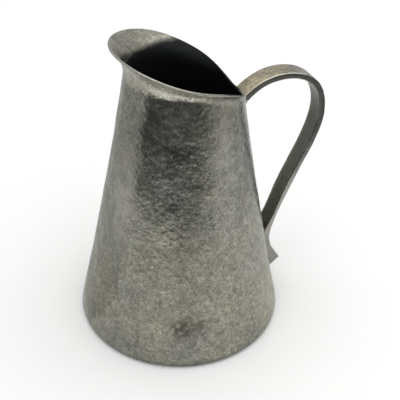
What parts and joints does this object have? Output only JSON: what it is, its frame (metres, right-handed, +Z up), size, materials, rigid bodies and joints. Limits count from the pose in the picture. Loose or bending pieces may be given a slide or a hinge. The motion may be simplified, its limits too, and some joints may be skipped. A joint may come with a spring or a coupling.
{
  "type": "water pitcher",
  "caption": "Hammered pewter water pitcher: tapering sheet body with a flared pouring rim that slopes down to the back, flat base and soldered strap handle.",
  "frame": {"origin": "centre of the flat foot, in the plane it stands on", "axes": "+Z up along the body's axis, +X towards the handle, -X towards the pouring lip"},
  "size_m": [0.1666, 0.1394, 0.1966],
  "materials": {
    "body_wall": "hammered pewter, aged grey, soft sheen",
    "wall_seam_solder": "filed-down tin solder",
    "base_disc": "plain pewter sheet, dull",
    "base_seam_solder": "tin solder, dull",
    "handle_strap": "pewter strap, worn and scratched, warm grey on top",
    "handle_upper_solder": "tin solder",
    "handle_lower_solder": "tin solder, slightly yellowed"
  },
  "bodies": {
    "root": {"body_wall": "body_wall", "wall_seam_solder": "wall_seam_solder", "base_disc": "base_disc", "base_seam_solder": "base_seam_solder", "handle_strap": "handle_strap", "handle_upper_solder": "handle_upper_solder", "handle_lower_solder": "handle_lower_solder"}
  },
  "joints": []
}
